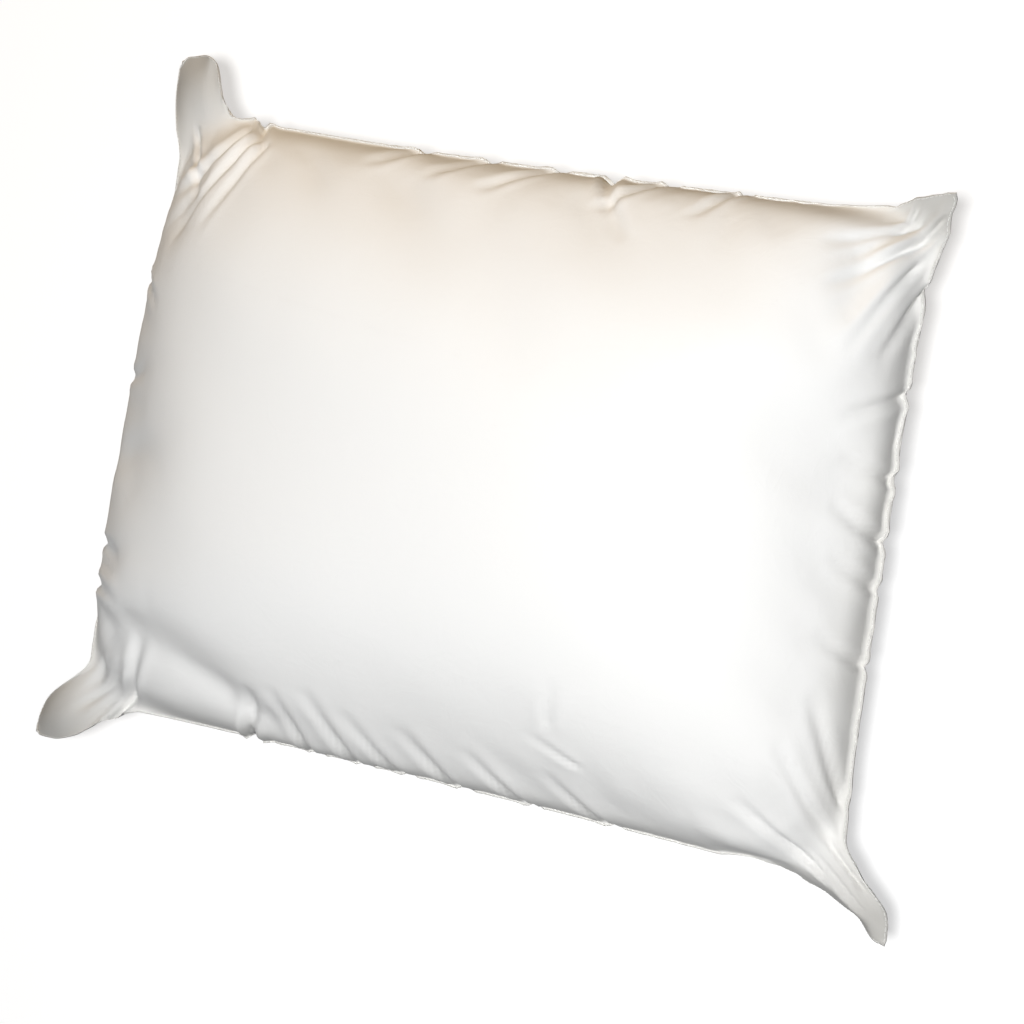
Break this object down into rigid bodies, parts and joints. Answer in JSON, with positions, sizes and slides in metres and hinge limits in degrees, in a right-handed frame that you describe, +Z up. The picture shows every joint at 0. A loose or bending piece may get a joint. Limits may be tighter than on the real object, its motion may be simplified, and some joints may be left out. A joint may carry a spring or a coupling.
{
  "type": "bed pillow",
  "caption": "Plump rectangular bed pillow in crisp white ticking, with a knife-edge seam, flat empty corner ears and a firm core between softer layers of filling.",
  "frame": {"origin": "on the ground, under the middle of the pillow's box, with the pillow lying on its back panel", "axes": "+X along the long side, towards the topstitched closing edge; +Y along the short side; +Z up through the thickness, out of the front panel"},
  "size_m": [0.657, 0.502, 0.1711],
  "materials": {
    "outer_ticking": "matte",
    "inner_ticking": "matte",
    "soft_filling": "matte",
    "core_filling": "matte",
    "sewing_thread": "satin"
  },
  "bodies": {
    "root": {"front_panel": "outer_ticking", "back_panel": "outer_ticking", "upper_chamber_wall": "inner_ticking", "lower_chamber_wall": "inner_ticking", "upper_chamber_fill": "soft_filling", "core_fill": "core_filling", "lower_chamber_fill": "soft_filling", "perimeter_seam_thread": "sewing_thread", "closing_seam_thread": "sewing_thread"}
  },
  "joints": []
}
